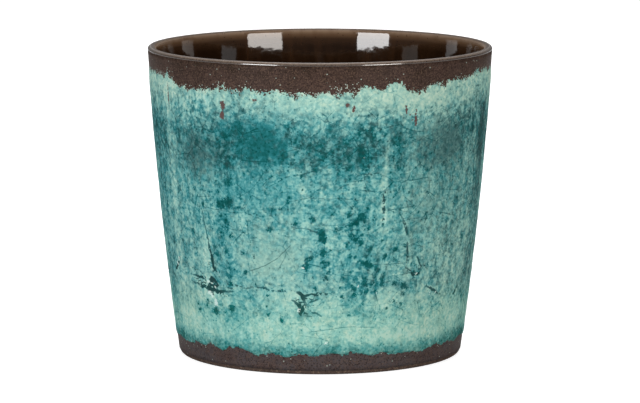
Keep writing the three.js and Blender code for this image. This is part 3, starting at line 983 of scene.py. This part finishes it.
# %% Tones of the turquoise
BLUE_TONES = (
    (0.0, srgb(8, 72, 71)), (0.1, srgb(15, 84, 83)), (0.2, srgb(24, 98, 101)),
    (0.3, srgb(39, 115, 120)), (0.41, srgb(60, 135, 140)), (0.53, srgb(85, 154, 156)),
    (0.65, srgb(110, 171, 169)), (0.76, srgb(132, 187, 181)), (0.88, srgb(148, 198, 190)),
    (1.0, srgb(164, 208, 199)),
)
GREY_TONES = (
    (0.0, srgb(36, 68, 69)), (0.1, srgb(45, 81, 82)), (0.2, srgb(55, 92, 93)),
    (0.3, srgb(70, 110, 110)), (0.41, srgb(88, 130, 126)), (0.53, srgb(107, 149, 144)),
    (0.65, srgb(126, 170, 162)), (0.76, srgb(145, 187, 176)), (0.88, srgb(164, 198, 182)),
    (1.0, srgb(184, 209, 193)),
)
BLOTCH_TONE = 0.06
MINT = srgb(20, 190, 150)
# colour of the painted highlights where folds in the glaze catch the lamps
HIGHLIGHT_WHITE = srgb(214, 234, 228)
print("tones:", len(BLUE_TONES), "blue and", len(GREY_TONES), "grey-green")

# %% Patterns of the turquoise
CRYSTAL = 1.1 * mm
LACE = 3.6 * mm
CRAZE = 14 * mm


def torn(f):
    """1 in the cracks, broken up where they don't hold together."""
    force = f.painted("crack_force")
    gap = f.size_of(f.sum(f.painted("crack"), f.swing(f.clouds(2.5 * mm, 3), 1.6)))
    whole = f.sum(force, f.swing(f.clouds(2 * mm, 2), 1.3))
    open_crack = f.times(f.step(gap, 1.35, 0.85), f.step(whole, 0.45, 0.7), f.step(force, 0.1, 0.4))
    return f.times(open_crack, f.painted("crack_depth"))


def restless(f):
    """Clouds, lace, streaks and pools, for the stretches of glaze that aren't calm."""
    warped = f.warped(10 * mm, 6 * mm)
    mottle = f.swing(f.clouds(10 * mm, 4, 0.55, warped), 0.28)
    open_work = f.step(f.clouds(LACE, 6, 0.6, warped), 0.44, 0.56)
    lace = f.times(f.painted("lace"), f.sum(open_work, -0.5))
    streak = f.swing(f.clouds(4 * mm, 4, 0.6, f.stretched(1, 0.12)), 0.32)
    dots = f.dots(f.cells(3.2 * mm, warped), share=0.3, edge=0.3, core=0.16)
    pools = f.dots(f.cells(9 * mm, f.warped(4 * mm, 3.5 * mm)), share=0.22, edge=0.32, core=0.2)
    return f.sum(mottle, lace, streak, f.times(dots, -0.14), f.times(pools, -0.1))


def fine_grain(f):
    """Crystals of about a millimetre, dark pecks and pale pips, softer where the glaze is calm."""
    crystals = f.swing(f.lot(f.cells(CRYSTAL, f.warped(2 * mm, 1 * mm))), 0.12)
    haze = f.swing(f.clouds(1.8 * mm, 3, 0.6), 0.23)
    pecks = f.dots(f.cells(1.7 * mm), share=0.16, edge=0.36, core=0.22)
    pips = f.dots(f.cells(2.6 * mm), share=0.07, edge=0.22, core=0.12)
    grain = f.sum(crystals, haze, f.times(pecks, -0.28), f.times(pips, 0.28))
    return f.times(grain, f.between(f.painted("lively"), 0.55, 1))


def crazed(f):
    """1 in a net of hairlines that comes and goes."""
    net = f.cells(CRAZE, f.warped(30 * mm, 8 * mm), "DISTANCE_TO_EDGE").outputs["Distance"]
    return f.times(f.step(net, 0.015, 0.005), f.step(f.clouds(12 * mm, 2), 0.42, 0.58))


print(f"crystals {CRYSTAL / mm:.1f}, lace {LACE / mm:.1f} and craze net {CRAZE / mm:.0f} mm across")


# %% Turquoise glaze
def turquoise_glaze(f):
    """The colour of the glaze, and its cracks and grain for the bump."""
    crack = torn(f)
    grain = fine_grain(f)
    blotch = f.painted("blotch")
    core = f.step(f.sum(blotch, f.swing(f.clouds(1.2 * mm, 4, 0.75), 1.6)), 0.5, 0.75)
    halo = f.step(f.sum(blotch, f.swing(f.clouds(4 * mm, 3), 0.5)), 0.05, 0.7)
    wild = f.times(restless(f), f.painted("lively"))
    tone = f.sum(f.painted("tone"), grain, wild, f.times(halo, -0.12), f.times(crazed(f), -0.24))
    tone = f.towards(f.times(core, 0.85), tone, f.sum(BLOTCH_TONE, f.times(grain, 0.6)))
    tone = f.towards(crack, tone, 0)
    tint = f.swing(f.clouds(3.2 * mm, 4, 0.6), 1.3)
    hue = f.sum(f.painted("hue"), tint, f.times(halo, 0.2), f.times(crack, -0.6), -0.06)
    colour = f.blend(hue, f.ramp(tone, GREY_TONES), f.ramp(tone, BLUE_TONES))
    mint = f.times(f.step(f.painted("above_foot"), 40, 16), 0.07)
    colour = f.blend(mint, colour, MINT)
    # painted highlights: near-white flecks where folds in the glaze catch the lamps
    glint = f.sum(f.painted("glint"), f.swing(f.clouds(CRUMB, 3, 0.6), 1.6))
    colour = f.blend(f.times(f.step(glint, 0.7, 1), 0.75), colour, HIGHLIGHT_WHITE)
    return colour, crack, grain


print("deepest turquoise:", [round(part, 3) for part in BLUE_TONES[0][1][:3]])

# %% [markdown]
# ## The fired outside
# The coat and the sleeve share one finish, because the mask decides which glaze shows. They differ
# only in their gloss: the brown coat has a slight sheen, and the turquoise is matte. The sand, the
# grain, the edge of the turquoise and the cracks also go into a bump, which catches the light.

# %% The fired outside
def fired(name, gloss):
    f = Finish(name)
    mask = glaze_mask(f)
    colour, crack, grain = turquoise_glaze(f)
    sand = f.swing(f.clouds(0.7 * mm, 2, 0.7), 0.1)
    height = f.sum(f.times(mask, 0.15), sand, f.times(crack, -0.4), f.times(grain, 0.15))
    f.dress({
        "Base Color": f.blend(mask, brown_glaze(f), colour),
        "Roughness": f.sum(f.between(mask, 0.42, 0.6), f.times(grain, 0.1)),
        "IOR": 1.45,
        "Specular IOR Level": gloss,
        "Normal": f.bump(height, distance=0.3 * mm, strength=0.6),
    })
    print(name, "has", len(f.nodes), "nodes")
    return f.material


brown_coat.data.materials.append(fired("brown_coat", gloss=0.05))
turquoise.data.materials.append(fired("turquoise", gloss=0.03))

# %% [markdown]
# ## Liner
# The liner is a thick glossy brown that broke to a dull beige where it ran off the crest of the
# lip, and a clear film of it shines on the outer edge. One material does all three: colour and
# gloss follow the height and, on the lip, the radius. Soft runs and iron specks keep the brown from
# looking like paint, and a gentle bump gives the wall the slight waves that fray the edges of its
# reflections.

# %% Tones of the liner
CREST = SEAM_RADIUS - LIP_OUTER  # radius at which the flat crest of the lip ends
DROP = 100 * mm  # depth below the lip that counts as 1 on the two ramps
INSIDE_TONES = (
    (0.0, srgb(76, 63, 54)), (0.003, srgb(104, 89, 77)), (0.006, srgb(140, 120, 103)),
    (0.015, srgb(136, 112, 91)), (0.03, srgb(106, 81, 60)), (0.055, srgb(60, 41, 27)),
    (0.1, srgb(37, 22, 11)), (0.25, srgb(36, 21, 11)), (0.6, srgb(70, 46, 29)),
)
EDGE_TONES = (
    (0.0, srgb(172, 156, 144)), (0.004, srgb(150, 134, 122)), (0.008, srgb(98, 84, 74)),
    (0.02, srgb(64, 52, 45)),
)
RUN_BROWN = srgb(78, 52, 33)
IRON = srgb(26, 15, 8)
EDGE_SAND = srgb(44, 33, 27)
print(f"the crest of the lip ends {CREST / mm:.1f} mm from the axis")


# %% Liner
def liner():
    f = Finish("brown_liner")
    spot = f.lay("SeparateXYZ", {0: f.place}).outputs
    flat = f.lay("CombineXYZ", {"X": spot["X"], "Y": spot["Y"]}).outputs[0]
    radius = f.lay("VectorMath", {0: flat}, operation="LENGTH").outputs["Value"]
    drop = f.times(f.sum(f.times(spot["Z"], -1), HEIGHT), 1 / DROP)
    runs = f.step(f.clouds(9 * mm, 4, 0.6, f.stretched(1, 0.2)), 0.42, 0.68)
    inside = f.blend(f.times(runs, 0.3), f.ramp(drop, INSIDE_TONES), RUN_BROWN)
    specks = f.dots(f.cells(1.3 * mm), share=0.15, edge=0.4, core=0.2)
    inside = f.blend(f.times(specks, 0.5), inside, IRON)
    edge = f.blend(f.times(f.lot(f.cells(0.6 * mm)), 0.45), f.ramp(drop, EDGE_TONES), EDGE_SAND)
    on_edge = f.step(radius, CREST - 0.3 * mm, CREST + 0.3 * mm)
    inward = f.step(radius, CREST + 0.5 * mm, CREST - 0.1 * mm)
    dull = f.times(f.step(drop, 0.016, 0.006), inward)
    f.dress({
        "Base Color": f.blend(on_edge, inside, edge),
        "Roughness": f.between(dull, 0.04, 0.55),
        "Coat Weight": on_edge,
        "Coat Roughness": 0.1,
        "Coat IOR": 2,
        "IOR": 1.6,
        "Normal": f.bump(f.clouds(6 * mm, 2), distance=0.03 * mm, strength=1),
    })
    return f.material


brown_liner.data.materials.append(liner())
print("liner finish has", len(brown_liner.data.materials[0].node_tree.nodes), "nodes")

# %% [markdown]
# ## Clay
# The bare foot is unglazed stoneware: a dull brown with darker and lighter sand in it, slightly
# rough to the touch. Noise for the body, cells for the sand and a bump for the grain are enough.

# %% Clay
DARK_CLAY = srgb(56, 45, 40)
PALE_CLAY = srgb(92, 76, 68)
DARK_SAND = srgb(34, 26, 22)
PALE_SAND = srgb(128, 108, 92)


def clay():
    f = Finish("clay")
    body = f.blend(f.clouds(3 * mm, 5, 0.7), DARK_CLAY, PALE_CLAY)
    sand = f.lot(f.cells(0.7 * mm))
    body = f.blend(f.times(f.step(sand, 0.8, 1), 0.6), body, PALE_SAND)
    body = f.blend(f.times(f.step(sand, 0.2, 0), 0.6), body, DARK_SAND)
    f.dress({
        "Base Color": body,
        "Roughness": f.between(sand, 0.75, 0.9),
        "Specular IOR Level": 0.2,
        "Normal": f.bump(f.clouds(0.8 * mm, 3, 0.7), distance=0.2 * mm, strength=0.6),
    })
    return f.material


clay_body.data.materials.append(clay())
print("clay finish has", len(clay_body.data.materials[0].node_tree.nodes), "nodes")

# %% [markdown]
# ## Floor
# The pot stands on white paper that turns up behind it, as in a studio. A plane would do for the
# floor alone, so its back edge is extruded upwards for the backdrop. Light Path makes the paper
# nearly white to the camera without throwing that much light on the pot, and the pot's own shadow
# still shows. In reflections the paper is as white only straight behind the pot, as if dark flags
# stood at its sides, which keeps the edges of the pot dark.

# %% Floor
PAPER_FRONT = -5
PAPER_BACK = 4
PAPER_WIDTH = 9
PAPER_TOP = -0.2 * mm  # just below the foot, so that the two never share a face
BACKDROP = 4  # height

bpy.ops.object.select_all(action="DESELECT")
bpy.ops.mesh.primitive_plane_add(size=1, location=(0, (PAPER_FRONT + PAPER_BACK) / 2, PAPER_TOP))
paper = bpy.context.object
paper.name = "paper"
paper.scale = (PAPER_WIDTH, PAPER_BACK - PAPER_FRONT, 1)
bpy.ops.object.transform_apply(location=True, rotation=True, scale=True)
for vertex in paper.data.vertices:
    vertex.select = vertex.co.y > 0
for edge in paper.data.edges:
    edge.select = all(paper.data.vertices[i].select for i in edge.vertices)
for face in paper.data.polygons:
    face.select = False
bpy.ops.object.mode_set(mode="EDIT")
bpy.ops.mesh.select_mode(type="EDGE")
bpy.ops.mesh.extrude_region_move(TRANSFORM_OT_translate={"value": (0, 0, BACKDROP)})
bpy.ops.mesh.select_mode(type="VERT")
bpy.ops.object.mode_set(mode="OBJECT")
print("paper has", len(paper.data.polygons), "faces")

# %% White paper
PAPER = srgb(196, 196, 196)
PAPER_GLOW = 0.86  # to the camera, where 1 is white
BEHIND_START, BEHIND_FULL = 0.3, 1  # behind the pot's axis, where reflections turn white
STRIP_FULL, STRIP_END = 0.15, 0.5  # to either side of it

f = Finish("white_paper")
path = f.lay("LightPath", {}).outputs
spot = f.lay("SeparateXYZ", {0: f.place}).outputs
in_strip = f.step(f.size_of(spot["X"]), STRIP_END, STRIP_FULL)
behind = f.times(f.step(spot["Y"], BEHIND_START, BEHIND_FULL), in_strip)
mirrored = f.sum(path["Is Glossy Ray"], path["Is Transmission Ray"])
seen = f.sum(path["Is Camera Ray"], f.times(mirrored, behind))
f.dress({
    "Base Color": PAPER,
    "Roughness": 0.9,
    "Emission Color": (1, 1, 1, 1),
    "Emission Strength": f.times(seen, PAPER_GLOW),
})
paper.data.materials.append(f.material)
print("paper finish has", len(f.nodes), "nodes")

# %% [markdown]
# ## Lamps
# Two upright softboxes stand in front, left and right. They can be seen in the glossy liner, and
# how they sit there gives their angle, width and height. The left one is stronger, and the right
# one a little warmer. A third lamp lights the back and a fourth, overhead, the floor inside. Both
# stay out of reflections, because the real liner doesn't show them. Area lamps do this best, and a
# lamp's power is worked out from how bright its face should look. A dim grey room fills what the
# lamps leave dark.

# %% Lamps
def softbox(name, angle, distance, low, high, width, brightness, aim):
    """An area lamp at an angle from the front, turned to a height on the pot's axis."""
    turn = math.radians(angle)
    middle = (low + high) / 2
    place = Vector((math.sin(turn) * distance, -math.cos(turn) * distance, middle))
    bpy.ops.object.light_add(type="AREA", location=place)
    lamp = bpy.context.object
    lamp.name = name
    lamp.data.shape = "RECTANGLE"
    lamp.data.size = width
    lamp.data.size_y = high - low
    lamp.data.energy = brightness * math.pi * width * (high - low)
    lamp.rotation_euler = (Vector((0, 0, aim)) - place).to_track_quat("-Z", "Y").to_euler()
    print(name, "has", round(lamp.data.energy, 1), "watts")
    return lamp


WARM_LIGHT = (1, 0.95, 0.9)

front = {"distance": 1.7, "low": 0.02, "high": 0.87, "aim": 0.445}
softbox("left_softbox", angle=-40, width=0.74, brightness=10.6, **front)
right_softbox = softbox("right_softbox", angle=41.5, width=0.8, brightness=8.1, **front)
right_softbox.data.color = WARM_LIGHT

back = {"distance": 1.6, "low": 0.9, "high": 1.8, "brightness": 6, "aim": 0.1}
overhead = {"distance": 0.3, "low": 1.7, "high": 2.5, "brightness": 5, "aim": 0}
for name, setting in (("back_softbox", back), ("top_softbox", overhead)):
    lamp = softbox(name, angle=180, width=1.2, **setting)
    lamp.visible_glossy = False

# %% Dim room
ROOM_GREY = 0.06

world = bpy.data.worlds.new("studio")
world.use_nodes = True
room = world.node_tree.nodes["Background"].inputs["Color"]
room.default_value = (ROOM_GREY, ROOM_GREY, ROOM_GREY, 1)
bpy.context.scene.world = world
bpy.context.scene.view_settings.view_transform = "Standard"
print("view transform:", bpy.context.scene.view_settings.view_transform)

# %% [markdown]
# ## Hand over
# Each new piece rides on the pot and takes the place of its solid in the frame.

# %% Hand over
for piece, node, slot in (
    (clay_body, "stoneware_body", "clay"),
    (brown_coat, "brown_coat", "brown_coat"),
    (brown_liner, "liner_glaze", "brown_liner"),
    (turquoise, "turquoise_glaze", "turquoise"),
):
    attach(piece, "root")
    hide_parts(node)
